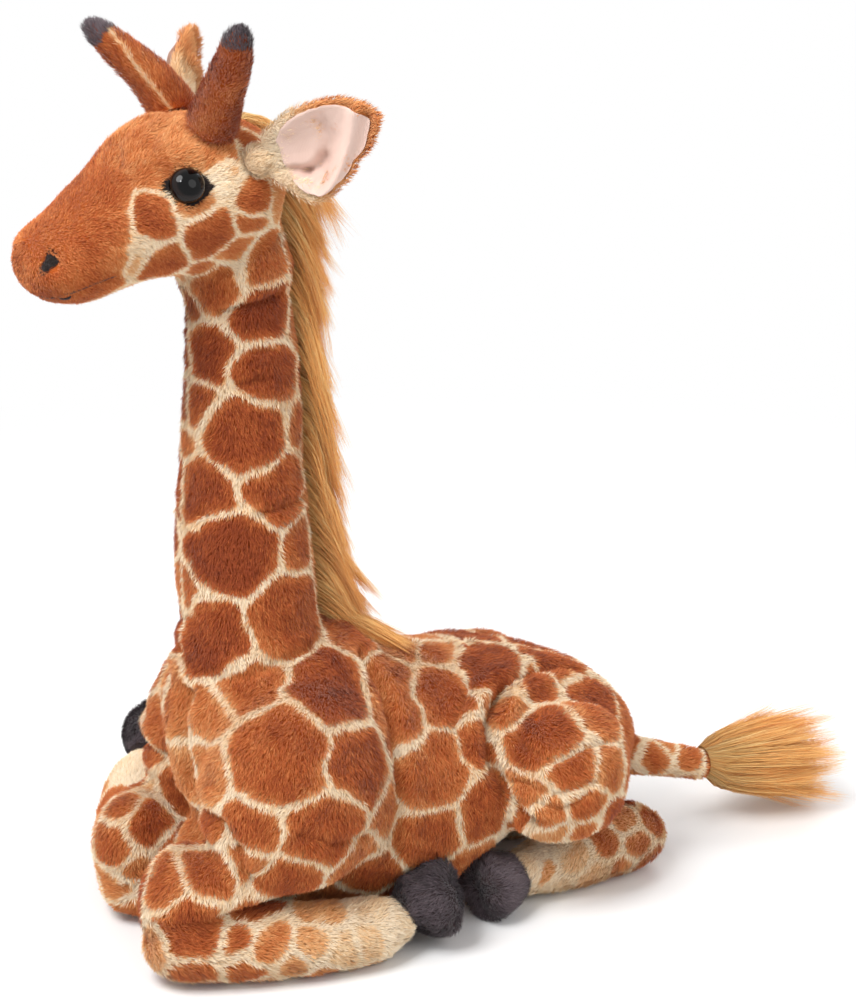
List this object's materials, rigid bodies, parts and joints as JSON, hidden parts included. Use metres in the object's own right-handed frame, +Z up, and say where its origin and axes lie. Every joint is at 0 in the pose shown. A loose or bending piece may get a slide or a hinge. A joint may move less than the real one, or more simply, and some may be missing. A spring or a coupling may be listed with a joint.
{
  "type": "plush giraffe",
  "caption": "Soft toy giraffe lying with folded legs, with a leaning neck, nodding head, flapping ears, swinging tail and lower legs.",
  "frame": {"origin": "centre of the flat under the belly, where the toy rests on the floor, on its mid plane", "axes": "+Z up, the giraffe looks along -Y with its tail toward +Y, its left side is +X"},
  "size_m": [0.255, 0.4768, 0.4686],
  "materials": {
    "spotted_plush": "short pile plush, rust patches in a cream network",
    "ear_plush": "short pile plush, plain orange tan with cream root hair",
    "ear_cloth": "smooth brushed lining cloth",
    "charcoal_plush": "short pile plush",
    "gold_hair": "long straight pile hair",
    "black_glass": "polished safety eye",
    "black_felt": "thin felt",
    "white_nylon": "moulded lock washer",
    "nose_stitching": "embroidery thread"
  },
  "bodies": {
    "body": {"torso": "spotted_plush", "mane_withers": "gold_hair", "shoulder_left": "spotted_plush", "shoulder_right": "spotted_plush", "forearm_left": "spotted_plush", "forearm_right": "spotted_plush", "haunch_left": "spotted_plush", "haunch_right": "spotted_plush"},
    "neck": {"neck": "spotted_plush", "mane": "gold_hair"},
    "head": {"head": "spotted_plush", "mane_poll": "gold_hair", "horn_left": "spotted_plush", "horn_right": "spotted_plush", "horn_tip_left": "charcoal_plush", "horn_tip_right": "charcoal_plush", "eye_left": "black_glass", "eye_right": "black_glass", "eye_felt_left": "black_felt", "eye_felt_right": "black_felt", "eye_washer_left": "white_nylon", "eye_washer_right": "white_nylon", "nostril_left": "nose_stitching", "nostril_right": "nose_stitching", "mouth_stitching": "nose_stitching"},
    "ear_left": {"ear_left": "ear_plush", "ear_lining_left": "ear_cloth"},
    "ear_right": {"ear_right": "ear_plush", "ear_lining_right": "ear_cloth"},
    "tail": {"tail": "spotted_plush", "tail_tuft": "gold_hair"},
    "foreleg_left": {"foreleg_left": "spotted_plush", "fore_hoof_left": "charcoal_plush"},
    "foreleg_right": {"foreleg_right": "spotted_plush", "fore_hoof_right": "charcoal_plush"},
    "hindleg_left": {"hindleg_left": "spotted_plush", "hind_hoof_left": "charcoal_plush"},
    "hindleg_right": {"hindleg_right": "spotted_plush", "hind_hoof_right": "charcoal_plush"}
  },
  "joints": [
    {"name": "neck_lean", "type": "hinge", "parent": "body", "child": "neck", "pos_m": [0, -0.08908, 0.16], "axis": [1, 0, 0], "range_deg": [-5, 12], "stiffness_Nm_per_rad": 12},
    {"name": "head_nod", "type": "hinge", "parent": "neck", "child": "head", "pos_m": [0, -0.09211, 0.362], "axis": [0.9848, 0.1736, 0], "range_deg": [-12, 15], "stiffness_Nm_per_rad": 4},
    {"name": "ear_flap_left", "type": "hinge", "parent": "head", "child": "ear_left", "pos_m": [0.03177, -0.09198, 0.40649], "axis": [0, 0, 1], "range_deg": [-20, 25], "stiffness_Nm_per_rad": 0.1},
    {"name": "ear_flap_right", "type": "hinge", "parent": "head", "child": "ear_right", "pos_m": [-0.02961, -0.10334, 0.4074], "axis": [0, 0, 1], "range_deg": [-25, 20], "stiffness_Nm_per_rad": 0.1},
    {"name": "tail_swing", "type": "hinge", "parent": "body", "child": "tail", "pos_m": [0, 0.12576, 0.054], "axis": [0, 0, 1], "range_deg": [-35, 35], "stiffness_Nm_per_rad": 0.3},
    {"name": "knee_swing_left", "type": "hinge", "parent": "body", "child": "foreleg_left", "pos_m": [0.04, -0.13807, 0.022], "axis": [-0.1994, 0, 0.9799], "range_deg": [-60, 0]},
    {"name": "knee_swing_right", "type": "hinge", "parent": "body", "child": "foreleg_right", "pos_m": [-0.04, -0.13807, 0.022], "axis": [0.1994, 0, 0.9799], "range_deg": [-58, 6]},
    {"name": "hock_swing_left", "type": "hinge", "parent": "body", "child": "hindleg_left", "pos_m": [0.02825, 0.11004, 0.021], "axis": [0, 0, 1], "range_deg": [0, 50]},
    {"name": "hock_swing_right", "type": "hinge", "parent": "body", "child": "hindleg_right", "pos_m": [-0.02825, 0.11004, 0.021], "axis": [0, 0, 1], "range_deg": [-50, 0]}
  ]
}
